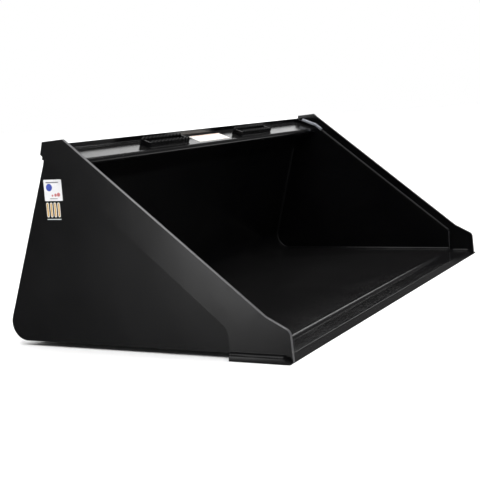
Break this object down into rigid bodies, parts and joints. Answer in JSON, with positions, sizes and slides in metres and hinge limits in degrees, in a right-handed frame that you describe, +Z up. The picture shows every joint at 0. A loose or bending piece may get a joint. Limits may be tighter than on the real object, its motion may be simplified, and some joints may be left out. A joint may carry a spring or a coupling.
{
  "type": "skid steer bucket",
  "caption": "Welded sheet-steel loader bucket with side cutters, a bevelled cutting edge, a formed top rail with serrated grip steps and a quick-attach mount on its back.",
  "frame": {"origin": "on the resting surface, under the middle of the whole bucket's box", "axes": "+X across the bucket, to the right seen from its lip; the lip points toward -Y; +Z up"},
  "size_m": [1.524, 0.8104, 0.5147],
  "materials": {
    "body_paint": "semi-gloss black enamel over steel sheet",
    "cutter_paint": "semi-gloss black enamel over thick plate",
    "edge_paint": "semi-gloss black enamel over rolled bar",
    "step_paint": "semi-gloss black enamel over serrated sheet",
    "weld_paint": "semi-gloss black enamel over rippled weld",
    "decal_white": "printed vinyl",
    "decal_gold": "printed vinyl",
    "decal_cream": "printed vinyl"
  },
  "bodies": {
    "root": {"shell_sheet": "body_paint", "side_sheet_left": "body_paint", "side_sheet_right": "body_paint", "top_rail": "body_paint", "hook_plate": "body_paint", "pin_plate": "body_paint", "end_plate_left": "body_paint", "end_plate_right": "body_paint", "mount_pad_left": "body_paint", "mount_pad_right": "body_paint", "pin_gussets_left": "body_paint", "pin_gussets_right": "body_paint", "rail_end_filler_left": "body_paint", "rail_end_filler_right": "body_paint", "wear_bar_left": "body_paint", "wear_bar_center": "body_paint", "wear_bar_right": "body_paint", "side_cutter_left": "cutter_paint", "side_cutter_right": "cutter_paint", "cutting_edge": "edge_paint", "step_left": "step_paint", "step_right": "step_paint", "weld_rail_end_left": "weld_paint", "weld_rail_end_right": "weld_paint", "weld_rail_seam": "weld_paint", "weld_rail_crown": "weld_paint", "weld_floor_lip": "weld_paint", "weld_inside_left": "weld_paint", "weld_inside_right": "weld_paint", "weld_side_left": "weld_paint", "weld_side_right": "weld_paint", "weld_edge_end_left": "weld_paint", "weld_edge_end_right": "weld_paint", "weld_hook_top": "weld_paint", "weld_pin_plate": "weld_paint", "weld_wear_bars": "weld_paint", "decal_side": "decal_white", "decal_badge": "decal_gold", "decal_rail": "decal_cream"}
  },
  "joints": []
}
